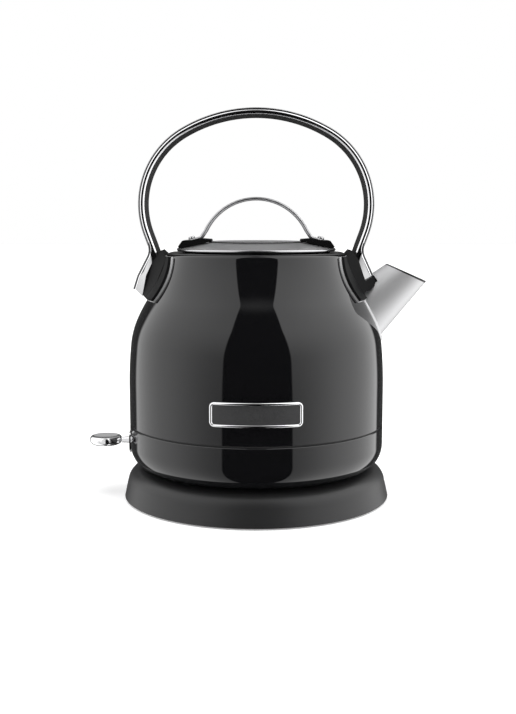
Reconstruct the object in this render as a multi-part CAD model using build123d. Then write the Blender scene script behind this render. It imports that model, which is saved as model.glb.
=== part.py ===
from build123d import *
from math import atan2, cos, radians, sin
import os

# Cordless electric kettle on its power base. Millimetres, +Z up, spout towards +X,
# front (badge) towards -Y. Origin: centre of the power base, on the table.
# Heights named *_UP are measured from the seam between the vessel and the lower skirt.

# ---- driving dimensions ----
SEAM_Z = 48.0            # height of the seam with the kettle seated on its base
BODY_R = 81.6            # widest radius of the vessel and the skirt
WALL = 1.2               # sheet thickness of the vessel
SEAM_GAP = 0.6           # half the height of the groove at the seam
NECK_HOLE_R = 47.0       # hole in the vessel's flat top
NECK_TOP_UP = 109.4      # flat top of the vessel

# Joints of the vessel's side curve, (radius, height); each arc is tangent to the last.
SIDE_CURVE = [(81.6, 24.0), (80.2, 51.4), (76.2, 66.7), (68.6, 80.8), (57.0, 107.0), (54.2, 109.4)]

SKIRT_LOW_R = 69.8       # ring the kettle stands on
SKIRT_LOW_UP = -27.5
SKIRT_BEND_UP = -12.5    # the skirt starts to turn in here
SKIRT_WALL = 2.2

BASE_R = 85.5            # power base at the table
BASE_WALL = 2.2
BASE_PLATE_R = 82.6      # plate that closes the power base
BASE_PLATE_Z = 1.6
BASE_PLATE_T = 1.8
BASE_SCREWS = 4
BASE_SCREW_RING = 60.0
FOOT_R = 6.5
FOOT_RING = 70.0
POST_R = 13.2            # central connector
POST_TOP_Z = 39.3
POST_BORE_R = 7.7
POST_FOOT_Z = 22.4

GROMMET_Z = 8.6          # cord inlet, through the back of the base
GROMMET_R = 5.0
GROMMET_WAIST_R = 4.2
GROMMET_BORE_R = 3.4
GROMMET_Y = (78.0, 80.4, 84.0, 86.0)

PLATE_UP = 3.0           # underside of the heating plate
PLATE_R = 78.0
PLATE_T = 1.6
STANDOFFS = 3
STANDOFF_RING = 57.0
COVER_Z = 29.0           # flat part of the cover under the kettle
COVER_T = 2.0
STEAM_X = -52.0          # steam tube up to the vessel's neck
STEAM_R = 4.0
STEAM_WALL = 0.9
STEAM_UP = (-6.0, 96.0)

LID_RIM_R = 50.5
LID_RIM_UP = 110.1       # underside of the polished rim
LID_BEAD_R = 1.0         # rounded edge of the rim
LID_FLAT_R = 30.0        # flat middle of the lid
LID_FLAT_UP = 116.3
LID_CONE_R = 48.4        # where the cone meets the rim
LID_CONE_UP = 111.8
LID_SHEET = 1.0
LID_PAN_R = 42.6         # plug of the lid, inside the neck
LID_PAN_UP = 100.4

LOOP_R = 36.4            # outer radius of the lid's strap handle
LOOP_TOP_UP = 144.0
LOOP_T = 2.0
LOOP_W = 18.0
FOOT_TILT = 14.9         # slope of the strap's feet, degrees
FOOT_START = (34.6, 119.4)
FOOT_LENGTH = 12.4
FOOT_T = 1.8
LID_SCREW_ALONG = 6.6    # distance of each lid screw from the bend, along the foot
LID_BOLT = (-8.0, 4.0)   # hole for each lid screw, below and above the foot's top
LID_HEAD = (2.2, 1.6)    # screw head, radius and height
PAD_OUTLINE = [(27.6, 114.0), (28.4, 117.6), (33.6, 118.0), (40.0, 117.4), (46.6, 116.7), (49.3, 113.0),
               (48.4, 112.1), (44.0, 111.5)]

HANDLE_TOP_UP = 198.7
HANDLE_W = 22.0
CROWN_R = 93.0           # outer radius over the top of the handle
SIDE_R = 54.5            # outer radius down its sides
CROWN_HALF = 30.3        # half angle of the top arc, degrees
SIDE_END = 110.0         # angle from the top where the sides run straight, degrees
BAND_T = 2.0             # outer chrome band
SPINE_T = 0.7            # dark strip between the two bands
LINING_T = 1.3           # inner chrome band
GRIP_T = 0.8             # soft grip on the inside

# Feet of the handle and its brackets in side view, (x, height above the seam).
LEG_KINK = (67.0, 110.4)                 # narrowest point of the handle
LEG_APEX = (66.2, 107.8)                 # where the foot parts from the inner band
LEFT_INSIDE = [(69.4, 95.2), (65.0, 104.2)]
RIGHT_INSIDE = [(66.9, 96.0), (64.0, 104.6)]
LEFT_FOOT = [(78.1, 86.5), (72.0, 82.2)]     # end of the handle's foot away from the spout
RIGHT_FOOT = [(74.2, 95.0), (68.5, 91.8)]    # and on the spout's side, where it stands on a lip
SPINE_WEDGE = [(62.6, 106.9), (63.9, 105.2), (65.0, 104.2), (67.0, 107.0), (67.0, 111.0), (64.2, 113.0)]
LEFT_BLOCK = [(65.0, 104.2), (69.4, 95.2), (72.0, 82.2), (66.0, 75.6)]
RIGHT_BLOCK = [(64.0, 104.6), (66.9, 96.0), (68.5, 91.8), (74.2, 95.0), (76.4, 91.6), (75.9, 88.8),
               (64.4, 82.6)]
EAR = [(56.4, 107.0), (59.6, 110.8), (63.9, 105.2)]   # top of each bracket, inside the handle
BRACKET_HALF_W = 10.5                    # half width of a bracket at its outer end
FLARE_HALF_W = 22.0                      # half width where it meets the vessel
LEFT_PLANS = [(116.0, 61.2, 51.5), (72.0, 75.2, 69.9)]    # height, x of the outer end, x of the flare
RIGHT_PLANS = [(116.0, 66.0, 51.5), (72.0, 82.0, 66.0)]
SADDLE_EDGE_T = 1.1                      # steel plate under each bracket
SADDLE_T = 2.6                           # plate and flange together
SADDLE_HALF_W = 31.1
SADDLE_R = 41.0                          # curve of the flange's sides
SADDLE_MIDDLE_UP = 86.0
SADDLE_TOP_UP = 107.2
SADDLE_LOW = (68.6, 78.5)                # foot of the flange, (radius, height)
BRACKET_SCREW_Y = (-6.0, 6.0)
BRACKET_SCREW_UP = 95.0

# Spout: four corners of its side view, mouth then root, as (x, height above the seam).
MOUTH_BACK = (83.3, 102.1)
MOUTH_TIP = (108.6, 90.9)
ROOT_TOP = (54.0, 82.4)
ROOT_LOW = (73.0, 47.8)
MOUTH_HALF_Y = 11.5
ROOT_HALF_Y = 17.5
SPOUT_WALL = 1.4
ROOT_FLANGE = (2.8, 1.0)                 # flange around the spout's root: width and thickness
FILTER_HALF = (15.4, 14.2)               # half height and half width of the filter
FILTER_EDGE = 1.8
FILTER_HOLE_R = 1.1
FILTER_PITCH = 3.4

BADGE_W = 55.0
BADGE_H = 14.9
BADGE_UP = 18.95
BADGE_EDGE = 2.0
BADGE_CORNER = 3.1
BADGE_PROUD = 1.7

LEVER_UP = -12.6         # axis of the switch lever
LEVER_TIP_X = -108.6
LEVER_NECK_X = -87.6
LEVER_W = 21.0
LEVER_T = 5.8
LEVER_DISH_R = 40.0
PIVOT_X = -72.0
PIVOT_PLAY = 0.05
SLOT = (5.4, 7.9, 1.6)   # lever's slot through the skirt: width, height, corner radius
SLOT_UP = -13.6
BEZEL = (11.0, 13.5, 4.4)

SCREW_R = 1.5
UP = (Align.CENTER, Align.CENTER, Align.MIN)


# ---- helpers ----
def up(height):
    """Height above the table of a point measured from the seam."""
    return SEAM_Z + height


def face_of(*points):
    """Closed face through (a, b) points; a third value rounds that corner."""
    face = make_face(Polyline(*[(p[0], p[1]) for p in points], close=True))
    for point in points:
        if len(point) == 3:
            corner = face.vertices().sort_by_distance((point[0], point[1], 0))[0]
            face = fillet(corner, point[2])
    return face


def turned(face, angle=360):
    """Solid turned about the vertical axis from a (radius, height) face."""
    return revolve(Plane.XZ * face, Axis.Z, angle)


def across(face, width):
    """Solid as wide as width, centred on y = 0, from an (x, z) face."""
    return extrude(Plane.XZ * face, width / 2, both=True)


def rod(radius, start, end):
    """Round bar between two points."""
    start, end = Vector(*start), Vector(*end)
    line = end - start
    return extrude(Plane(start, z_dir=line) * Circle(radius), line.length)


def ring_of(shape, count, start=0.0):
    """Copies of a shape around the vertical axis."""
    return [Rot(0, 0, start + 360 * i / count) * shape for i in range(count)]


def side_points(inset):
    """Joints of the side curve moved in by inset, in table heights."""
    lean, start, moved = 0.0, SIDE_CURVE[0], []
    for end in SIDE_CURVE:
        if end != start:
            chord = atan2(start[0] - end[0], end[1] - start[1])
            lean = 2 * chord - lean
        moved.append((end[0] - inset * cos(lean), up(end[1]) - inset * sin(lean)))
        start = end
    return moved


def side_curve(inset, foot_z):
    """Edges of the vessel's side from foot_z to the flat top, moved in by inset."""
    points = side_points(inset)
    edges = [Line((points[0][0], foot_z), points[0])]
    for end in points[1:]:
        edges.append(TangentArc(edges[-1] @ 1, end, tangent=edges[-1] % 1))
    return edges


def body_core(grow=0.0, foot_z=20.0):
    """Filled solid of the vessel's outer form, grown by grow."""
    side = side_curve(-grow, foot_z)
    top = side[-1] @ 1
    lid_line = Polyline((top.X, top.Y), (0, top.Y), (0, foot_z), (side[0] @ 0))
    return turned(make_face(side + [lid_line]))


# ---- power base ----
def base_outline(inset):
    """Edges of the base's outer skin moved in by inset, from the table edge to the plateau."""
    skirt = Line((BASE_R - inset, 1.0), (83.0 - inset, 12.2))
    edge = TangentArc(skirt @ 1, (76.5 - inset * 0.4, 18.9 - inset), tangent=skirt % 1)
    dome = ThreePointArc(edge @ 1, (58.0, 22.6 - inset), (37.6, 24.5 - inset))
    step = Spline(dome @ 1, (32.0, 26.3 - inset), (26.6, 27.2 - inset), tangents=[(-1, 0.05), (-1, 0.02)])
    return [skirt, edge, dome, step]


def make_base_cover():
    outer, inner = base_outline(0), base_outline(BASE_WALL)
    hole_r = 18.4
    rim = Line(outer[0] @ 0, inner[0] @ 0)
    outer_top, inner_top = outer[-1] @ 1, inner[-1] @ 1
    plateau = Polyline(outer_top, (hole_r, outer_top.Y), (hole_r, inner_top.Y), inner_top)
    cover = turned(make_face(outer + [plateau] + inner + [rim]))
    room = turned(make_face(base_outline(BASE_WALL / 2) + [
        Polyline((26.6, 27.2 - BASE_WALL / 2), (0, 26.1), (0, 1.0), (BASE_R - BASE_WALL / 2, 1.0))]))
    for boss in ring_of(Pos(BASE_SCREW_RING, 0, 3.4) * Cylinder(4.0, 30, align=UP), BASE_SCREWS, 45):
        cover += boss & room
    for hole in ring_of(Pos(BASE_SCREW_RING, 0, 3.4) * Cylinder(SCREW_R, 12, align=UP), BASE_SCREWS, 45):
        cover -= hole
    return cover - rod(GROMMET_WAIST_R, (0, 70, GROMMET_Z), (0, 90, GROMMET_Z))


def make_base_plate():
    plate = Pos(0, 0, BASE_PLATE_Z) * Cylinder(BASE_PLATE_R, BASE_PLATE_T, align=UP)
    plate = chamfer(plate.edges().group_by(Axis.Z)[-1], 0.5)
    for hole in ring_of(Pos(BASE_SCREW_RING, 0, 0) * Cylinder(SCREW_R, 6, align=UP), BASE_SCREWS, 45):
        plate -= hole
    return plate


def make_base_feet():
    pad = fillet(Cylinder(FOOT_R, BASE_PLATE_Z, align=UP).edges().group_by(Axis.Z)[0], 0.5)
    return ring_of(Pos(FOOT_RING, 0, 0) * pad, 4)


def make_base_screws():
    screw = Cylinder(SCREW_R, 10, align=UP) + Pos(0, 0, -1.1) * Cylinder(3.0, 1.1, align=UP)
    return ring_of(Pos(BASE_SCREW_RING, 0, BASE_PLATE_Z) * screw, BASE_SCREWS, 45)


def make_connector_post():
    flange = Polyline((POST_BORE_R, POST_FOOT_Z), (21.5, POST_FOOT_Z), (21.5, 24.9), (17.9, 24.9),
                      (17.5, 27.3))
    flare = RadiusArc(flange @ 1, (POST_R, 33.0), 7.5)
    head = Polyline(flare @ 1, (POST_R, 36.6), (POST_R + 0.3, 37.0), (POST_R + 0.3, POST_TOP_Z),
                    (POST_BORE_R, POST_TOP_Z), (POST_BORE_R, POST_FOOT_Z))
    post = turned(make_face([flange, flare, head]))
    rims = post.edges().group_by(Axis.Z)[-1].sort_by(SortBy.LENGTH)
    post = fillet(rims[-1], 1.6)
    return chamfer(post.edges().group_by(Axis.Z)[-1].sort_by(SortBy.LENGTH)[0], 0.6)


def make_connector_core():
    return turned(face_of((2.6, POST_FOOT_Z), (6.8, POST_FOOT_Z), (6.8, 24.0), (4.8, 24.0), (4.8, 38.2, 0.6),
                          (2.6, 38.2)))


def make_contact_ring():
    return turned(face_of((7.0, 24.2), (7.65, 24.2), (7.65, 36.0), (7.0, 36.0)))


def make_centre_pin():
    return turned(face_of((0, 20.0), (4.0, 20.0), (4.0, 22.2), (1.4, 22.2), (1.4, 37.4, 0.6), (0, 37.4)))


def make_cord_grommet():
    stations = [(0, y, GROMMET_Z) for y in GROMMET_Y]
    sleeve = rod(GROMMET_R, stations[2], stations[3])
    sleeve = fillet(sleeve.edges().group_by(Axis.Y)[-1], 0.8)
    sleeve += rod(GROMMET_WAIST_R, stations[1], stations[2])
    sleeve += rod(GROMMET_R, stations[0], stations[1])
    sleeve -= rod(GROMMET_BORE_R, stations[0], stations[3])
    return sleeve - make_base_cover()


def make_terminal_block():
    block = Pos(0, 42, 3.4) * Box(24, 12, 9, align=UP)
    for x in (-8, 0, 8):
        block -= Pos(x, 42, 9.4) * Cylinder(2.2, 4, align=UP)
    return block


# ---- kettle: lower part ----
def make_lower_skirt():
    top_z, bend_z, low_z = up(-SEAM_GAP), up(SKIRT_BEND_UP), up(SKIRT_LOW_UP)
    out_r, drop = BODY_R - SKIRT_LOW_R, bend_z - low_z
    in_r, in_drop = out_r - SKIRT_WALL, drop - SKIRT_WALL
    outer = Line((BODY_R, top_z), (BODY_R, bend_z))
    turn = EllipticalCenterArc((SKIRT_LOW_R, bend_z), out_r, drop, -90, arc_size=90)
    inner = Line((BODY_R - SKIRT_WALL, bend_z), (BODY_R - SKIRT_WALL, top_z))
    inner_turn = EllipticalCenterArc((SKIRT_LOW_R, bend_z), in_r, in_drop, -90, arc_size=90)
    lip = Polyline((SKIRT_LOW_R, low_z), (68.2, low_z + 0.9), (67.2, low_z + SKIRT_WALL),
                   (SKIRT_LOW_R, low_z + SKIRT_WALL))
    lid_line = Line((BODY_R - SKIRT_WALL, top_z), (BODY_R, top_z))
    skirt = turned(make_face([outer, turn, lip, inner_turn, inner, lid_line]))
    return skirt - switch_block(*BEZEL)


def switch_block(width, height, corner):
    """Upright rounded block through the skirt where the lever comes out."""
    side = fillet(Rectangle(width, height).vertices(), corner)
    place = Plane((-84.0, 0, up(SLOT_UP)), x_dir=(0, 1, 0), z_dir=(1, 0, 0))
    return extrude(place * side, 8)


def make_switch_bezel():
    low, high, inner, outer = up(SLOT_UP - 12), up(SLOT_UP + 12), BODY_R - 3.0, BODY_R + 1.0
    shell = turned(face_of((inner, low), (outer, low), (outer, high), (inner, high)))
    return switch_block(*BEZEL) & shell - switch_block(*SLOT)


def make_seam_gasket():
    return turned(face_of((78.6, up(-SEAM_GAP)), (BODY_R - 0.9, up(-SEAM_GAP)),
                          (BODY_R - 0.9, up(SEAM_GAP)), (78.6, up(SEAM_GAP))))


def make_heating_plate():
    plate = Pos(0, 0, up(PLATE_UP)) * Cylinder(PLATE_R, PLATE_T, align=UP)
    return plate - Pos(STEAM_X, 0, up(PLATE_UP)) * Cylinder(STEAM_R, 9)


def make_plate_seal():
    low, high, outer = up(PLATE_UP - 0.8), up(PLATE_UP + PLATE_T + 1.0), BODY_R - WALL
    return turned(face_of((PLATE_R, low), (outer, low), (outer, high), (PLATE_R, high)))


def make_heating_element():
    element = turned(Pos(36, up(PLATE_UP) - 3.6) * Circle(3.5), 320)
    return Rot(0, 0, 20) * element


def make_thermostat_control():
    under, top = COVER_Z + COVER_T + 0.2, up(PLATE_UP)
    return turned(face_of((20.2, under), (27.0, under), (27.0, 46.0, 1.5), (16.0, 46.0), (16.0, top),
                          (0, top), (0, 43.4), (20.2, 43.4)))


def make_socket_ring():
    return turned(face_of((14.2, 31.6), (19.6, 31.6), (19.6, 42.8, 0.8), (14.2, 42.8)))


def make_bottom_cover():
    low = up(SKIRT_LOW_UP) + SKIRT_WALL + 0.05
    cover = turned(face_of((18.6, COVER_Z), (64.0, COVER_Z), (67.6, low), (69.9, low), (69.9, low + 1.8),
                           (68.9, low + 1.8), (65.4, COVER_Z + COVER_T), (18.6, COVER_Z + COVER_T)))
    for hole in ring_of(Pos(STANDOFF_RING, 0, COVER_Z) * Cylinder(SCREW_R, 9), STANDOFFS):
        cover -= hole
    return cover


def make_standoffs():
    low = COVER_Z + COVER_T
    post = Pos(0, 0, low) * (Cylinder(3.6, up(PLATE_UP) - low, align=UP) - Cylinder(SCREW_R, 8, align=UP))
    return ring_of(Pos(STANDOFF_RING, 0, 0) * post, STANDOFFS)


def make_bottom_screws():
    screw = Cylinder(SCREW_R, 9, align=UP) + Pos(0, 0, -1.2) * Cylinder(3.0, 1.2, align=UP)
    return ring_of(Pos(STANDOFF_RING, 0, COVER_Z) * screw, STANDOFFS)


def make_steam_tube():
    low, high = [up(height) for height in STEAM_UP]
    tube = Cylinder(STEAM_R, high - low, align=UP) - Cylinder(STEAM_R - STEAM_WALL, high, align=UP)
    return Pos(STEAM_X, 0, low) * tube


def make_switch_housing():
    axis_z = up(LEVER_UP)
    low = COVER_Z + COVER_T
    block = Pos(-60, 0, low) * Box(9, 15, 10, align=UP)
    for y in (-6.4, 6.4):
        block += Pos(-69.4, y, low + 0.6) * Box(12.8, 2.2, 9.4, align=UP)
    return block - rod(SCREW_R, (PIVOT_X, -9, axis_z), (PIVOT_X, 9, axis_z))


def make_pivot_pin():
    axis_z = up(LEVER_UP)
    return rod(SCREW_R, (PIVOT_X, -7.5, axis_z), (PIVOT_X, 7.5, axis_z))


# ---- kettle: vessel ----
def make_body_shell():
    foot_z, top_z = up(SEAM_GAP), up(NECK_TOP_UP)
    outer, inner = side_curve(0, foot_z), side_curve(WALL, foot_z)
    flat = Polyline(outer[-1] @ 1, (NECK_HOLE_R, top_z), (NECK_HOLE_R, top_z - WALL), inner[-1] @ 1)
    foot = Line(inner[0] @ 0, outer[0] @ 0)
    shell = turned(make_face(outer + [flat] + inner + [foot]))
    shell -= spout_loft(SPOUT_WALL, 0)
    for side in (-1, 1):
        shell -= bracket_bolts(side, SCREW_R, 50, 70)
    return shell


def bracket_bolts(side, radius, start_x, end_x):
    """Bars along the two screws of one bracket."""
    z = up(BRACKET_SCREW_UP)
    bars = [rod(radius, (side * start_x, y, z), (side * end_x, y, z)) for y in BRACKET_SCREW_Y]
    return bars[0] + bars[1]


def make_neck_collar():
    top_z = up(NECK_TOP_UP)
    inner, outer, ledge_r = 44.1, NECK_HOLE_R - 0.5, 49.4
    low, ledge = top_z - 13, top_z - WALL
    return turned(face_of((inner, low), (outer, low), (outer, ledge - 1.4), (ledge_r, ledge - 1.4),
                          (ledge_r, ledge), (NECK_HOLE_R, ledge), (NECK_HOLE_R, top_z), (inner, top_z, 0.8)))


def oval(high, low, half_y, inset, reach=0.0):
    """Oval section whose ends in side view are high and low, pushed out by reach."""
    long_way = Vector(low[0] - high[0], 0, low[1] - high[1])
    middle = Vector((low[0] + high[0]) / 2, 0, up((low[1] + high[1]) / 2))
    outward = Vector(-long_way.Z, 0, long_way.X).normalized()
    place = Plane(middle + outward * reach, x_dir=long_way, z_dir=outward)
    return place * Ellipse(long_way.length / 2 - inset, half_y - inset)


def spout_loft(inset, reach):
    return loft([oval(ROOT_TOP, ROOT_LOW, ROOT_HALF_Y, inset),
                 oval(MOUTH_BACK, MOUTH_TIP, MOUTH_HALF_Y, inset, reach)])


def make_spout():
    width, thick = ROOT_FLANGE
    root_lip = spout_loft(-width, 0) & body_core(thick)
    return spout_loft(0, 0) + root_lip - spout_loft(SPOUT_WALL, 0.6) - body_core()


def filter_place(back):
    """Plane across the spout's throat, back from the vessel's wall."""
    wall = Plane((66.0, 0, up(68.6)), x_dir=(0.483, 0, -0.875), z_dir=(0.875, 0, 0.483))
    return wall.offset(-back)


def make_filter_frame():
    ring = Ellipse(*FILTER_HALF) - filter_window()
    return extrude(filter_place(3.0) * ring, 3.0)


def filter_window():
    return Ellipse(FILTER_HALF[0] - FILTER_EDGE, FILTER_HALF[1] - FILTER_EDGE)


def make_filter_mesh():
    sheet = filter_window()
    clear_x, clear_y = [half - FILTER_EDGE - 2 * FILTER_HOLE_R for half in FILTER_HALF]
    for row in range(-4, 5):
        for column in range(-4, 5):
            x, y = FILTER_PITCH * (row + 0.5 * (column % 2)), 0.87 * FILTER_PITCH * column
            if (x / clear_x) ** 2 + (y / clear_y) ** 2 < 1:
                sheet -= Pos(x, y) * Circle(FILTER_HOLE_R)
    return extrude(filter_place(1.5) * sheet, 0.6)


def badge_block(width, height, corner):
    side = fillet(Rectangle(width, height).vertices(), corner)
    return extrude(Plane((0, -60, up(BADGE_UP)), x_dir=(1, 0, 0), z_dir=(0, -1, 0)) * side, 30)


def badge_layer(thickness):
    low, high, outer = up(BADGE_UP - BADGE_H), up(BADGE_UP + BADGE_H), BODY_R + thickness
    return turned(face_of((BODY_R, low), (outer, low), (outer, high), (BODY_R, high)))


def make_badge_frame():
    frame = badge_block(BADGE_W, BADGE_H, BADGE_CORNER) - badge_window()
    return frame & badge_layer(BADGE_PROUD)


def badge_window():
    return badge_block(BADGE_W - 2 * BADGE_EDGE, BADGE_H - 2 * BADGE_EDGE, BADGE_CORNER - BADGE_EDGE)


def make_badge_plate():
    return badge_window() & badge_layer(BADGE_PROUD - 0.8)


# ---- kettle: handle ----
def arch_point(inset, angle):
    """Point of the handle's curve, angle degrees from its top, moved in by inset."""
    a, crown = radians(min(angle, CROWN_HALF)), radians(CROWN_HALF)
    radius = CROWN_R - inset
    x, z = radius * sin(a), HANDLE_TOP_UP - CROWN_R + radius * cos(a)
    if angle > CROWN_HALF:
        centre_x = (CROWN_R - SIDE_R) * sin(crown)
        centre_z = HANDLE_TOP_UP - CROWN_R + (CROWN_R - SIDE_R) * cos(crown)
        a = radians(angle)
        x, z = centre_x + (SIDE_R - inset) * sin(a), centre_z + (SIDE_R - inset) * cos(a)
    return x, up(z)


def arch_edges(inset, tail):
    """Handle curve moved in by inset, left to right, its straight ends tail long."""
    middle = (CROWN_HALF + SIDE_END) / 2
    knots = [arch_point(inset, a) for a in (SIDE_END, middle, CROWN_HALF, 0)]
    end_x, end_z = knots[0]
    lean = radians(SIDE_END - 90)
    foot = (end_x - tail * sin(lean), end_z - tail * cos(lean))
    crown = ThreePointArc((-knots[2][0], knots[2][1]), knots[3], knots[2])
    edges = []
    for side in (-1, 1):
        a, b, c, f = [(side * x, z) for x, z in (knots[0], knots[1], knots[2], foot)]
        edges += [Line(f, a), ThreePointArc(a, b, c)]
    return edges + [crown], foot


def layer(outer, inner, tail, width):
    """Curved strip of the handle between two insets."""
    out_edges, out_foot = arch_edges(outer, tail)
    in_edges, in_foot = arch_edges(inner, tail)
    ends = [Line((s * out_foot[0], out_foot[1]), (s * in_foot[0], in_foot[1])) for s in (-1, 1)]
    return across(make_face(out_edges + in_edges + ends), width)


def leg(side, corners):
    """Flared foot of the outer band through the corners below its narrowest point."""
    points = [LEG_KINK + (9.0,)] + corners + [LEG_APEX, (64.9, 110.6), (69.0, 116.0)]
    points = [(side * p[0], up(p[1])) + tuple(p[2:]) for p in points]
    return across(face_of(*points), HANDLE_W)


def make_handle_band():
    band = layer(0, BAND_T, 10.8, HANDLE_W)
    left_leg = leg(-1, [(75.4, 94.9, 9.0)] + LEFT_FOOT + LEFT_INSIDE)
    right_leg = leg(1, RIGHT_FOOT + RIGHT_INSIDE)
    return band + left_leg + right_leg - spout_loft(-0.3, 0)


def make_handle_spine():
    """Dark strip between the bands, which widens into a wedge above each bracket."""
    spine = layer(BAND_T, BAND_T + SPINE_T, 12.0, HANDLE_W - 1.0)
    for side in (-1, 1):
        spine += across(face_of(*[(side * x, up(z)) for x, z in SPINE_WEDGE]), HANDLE_W - 1.0)
    return spine - make_handle_band() - make_handle_lining()


def make_handle_lining():
    return layer(BAND_T + SPINE_T, BAND_T + SPINE_T + LINING_T, 16.0, HANDLE_W) - make_handle_band()


def make_handle_grip():
    inner = BAND_T + SPINE_T + LINING_T
    return layer(inner, inner + GRIP_T, 16.0, HANDLE_W - 1.6)


def saddle(side, low, high):
    """Plate on the vessel's shoulder from low to high above its wall, under one bracket."""
    reach = SADDLE_R - SADDLE_HALF_W
    outline = Circle(SADDLE_R)
    outline = Pos(reach, up(SADDLE_MIDDLE_UP)) * outline & Pos(-reach, up(SADDLE_MIDDLE_UP)) * outline
    outline &= Pos(0, up(SADDLE_TOP_UP) - 50) * Rectangle(100, 100)
    block = extrude(Plane((0, 0, 0), x_dir=(0, 1, 0), z_dir=(1, 0, 0)) * outline, side * 90)
    plate = block & body_core(high) & above_saddle_foot()
    return plate - body_core(low)


def above_saddle_foot():
    """Space above the cone on which both brackets end, square to the vessel's wall."""
    r, z = SADDLE_LOW[0], up(SADDLE_LOW[1])
    return turned(face_of((0, z - 60), (r - 15, z - 16.5), (r + 15, z + 16.5), (r + 15, z + 60), (0, z + 60)))


def bracket_block(side, outline, plans):
    """Body of a bracket: narrow at its outer end, flared where it meets the vessel."""
    block = across(face_of(*[(side * x, up(z)) for x, z in outline]), 2 * FLARE_HALF_W)
    sections = []
    for height, end_x, flare_x in plans:
        plan = [(90, BRACKET_HALF_W), (end_x, BRACKET_HALF_W), (flare_x, FLARE_HALF_W), (30, FLARE_HALF_W)]
        plan += [(x, -y) for x, y in reversed(plan)]
        sections.append(Plane.XY.offset(up(height)) * face_of(*[(side * x, y) for x, y in plan]))
    return block & loft(sections, ruled=True) & above_saddle_foot()


def bracket(side, outline, plans):
    """Bracket fitted around the handle, the screws and, on its side, the spout."""
    whole = bracket_block(side, EAR + outline + [(50.0, 78.0), (50.0, 107.0)], plans)
    flange = saddle(side, SADDLE_EDGE_T, SADDLE_T)
    if side > 0:
        flange -= spout_loft(-ROOT_FLANGE[0] - 0.2, 0)
    whole = whole - body_core(SADDLE_EDGE_T) + flange
    if side > 0:
        whole = whole - spout_loft(-0.2, 0) - make_spout()
    for neighbour in (make_handle_band(), make_handle_lining(), make_handle_grip(), make_handle_spine()):
        whole -= neighbour
    whole -= bracket_bolts(side, SCREW_R, 50, 66)
    return whole.solids().sort_by(SortBy.VOLUME)[-1]


def make_bracket_left():
    return bracket(-1, LEFT_BLOCK, LEFT_PLANS)


def make_bracket_right():
    return bracket(1, RIGHT_BLOCK, RIGHT_PLANS)


def make_saddle_plates():
    """Steel plates under the two brackets, whose edges show around them."""
    left = saddle(-1, 0, SADDLE_EDGE_T)
    right = saddle(1, 0, SADDLE_EDGE_T) - make_spout() - spout_loft(-0.2, 0)
    plates = []
    for side, plate in ((-1, left), (1, right)):
        plate -= bracket_bolts(side, SCREW_R, 50, 70)
        plates.append(plate.solids().sort_by(SortBy.VOLUME)[-1])
    return plates


def make_bracket_screws():
    screws = []
    for side in (-1, 1):
        for y in BRACKET_SCREW_Y:
            stations = [(side * x, y, up(BRACKET_SCREW_UP)) for x in (55.4, 57.3, 65)]
            screws.append(rod(2 * SCREW_R, stations[0], stations[1]) + rod(SCREW_R, stations[1], stations[2]))
    return screws


# ---- lid ----
def lid_sheet(inset):
    """Upper edge line of the lid's cone and flat, moved down by inset."""
    return [(0, up(LID_FLAT_UP) - inset), (LID_FLAT_R, up(LID_FLAT_UP) - inset, 6.0),
            (LID_CONE_R, up(LID_CONE_UP) - inset)]


def make_lid_cover():
    cover = turned(face_of(*lid_sheet(0), *reversed(lid_sheet(LID_SHEET))))
    for side in (-1, 1):
        cover -= lid_bolt(side, SCREW_R, *LID_BOLT)
    return cover


def make_lid_rim():
    foot, bead_x = up(LID_RIM_UP), LID_RIM_R - LID_BEAD_R
    cone_x = LID_CONE_R + 0.1
    web = face_of((47.2, foot), (bead_x, foot), (bead_x, foot + 2 * LID_BEAD_R), (cone_x, up(LID_CONE_UP)),
                  (cone_x, foot + 0.6), (47.2, foot + 0.4))
    return turned(web + Pos(bead_x, foot + LID_BEAD_R) * Circle(LID_BEAD_R))


def make_lid_pan():
    low, high, wall, top = up(LID_PAN_UP), up(LID_PAN_UP + 8.2), 1.2, up(LID_FLAT_UP) - LID_SHEET
    return turned(face_of((0, low), (LID_PAN_R, low, wall), (LID_PAN_R, high), (LID_PAN_R - wall, high),
                          (LID_PAN_R - wall, low + wall), (5.0, low + wall), (5.0, top), (0, top)))


def make_lid_seal():
    inner, valley, ridge = LID_PAN_R, LID_PAN_R + 0.6, LID_PAN_R + 1.15
    low, first, dip, second, high = [up(LID_PAN_UP + rise) for rise in (2.0, 3.2, 4.4, 5.6, 6.8)]
    return turned(face_of((inner, low), (valley, low), (ridge, first, 0.3), (valley, dip),
                          (ridge, second, 0.3), (valley, high), (inner, high)))


def foot_plane(side):
    """Plane on top of one foot of the strap, at the bend, x running outwards."""
    lean = radians(FOOT_TILT)
    return Plane((side * FOOT_START[0], 0, up(FOOT_START[1])), x_dir=(side * cos(lean), 0, -sin(lean)),
                 z_dir=(side * sin(lean), 0, cos(lean)))


def lid_bolt(side, radius, low, high):
    """Bar through one foot of the strap, from low to high along its screw."""
    place = foot_plane(side) * Pos(LID_SCREW_ALONG, 0, low)
    return place * Cylinder(radius, high - low, align=UP)


def make_lid_loop():
    centre_up = LOOP_TOP_UP - LOOP_R
    arch = Circle(LOOP_R) - Circle(LOOP_R - LOOP_T)
    arch &= Pos(0, FOOT_START[1] - centre_up - 1.6 + 50) * Rectangle(120, 100)
    strap = across(Pos(0, up(centre_up)) * arch, LOOP_W)
    for side in (-1, 1):
        foot = Box(FOOT_LENGTH, LOOP_W, FOOT_T, align=(Align.MIN, Align.CENTER, Align.MAX))
        strap += foot_plane(side) * (Pos(-0.6, 0, 0) * foot)
        strap -= lid_bolt(side, SCREW_R, *LID_BOLT)
    return strap


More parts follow.
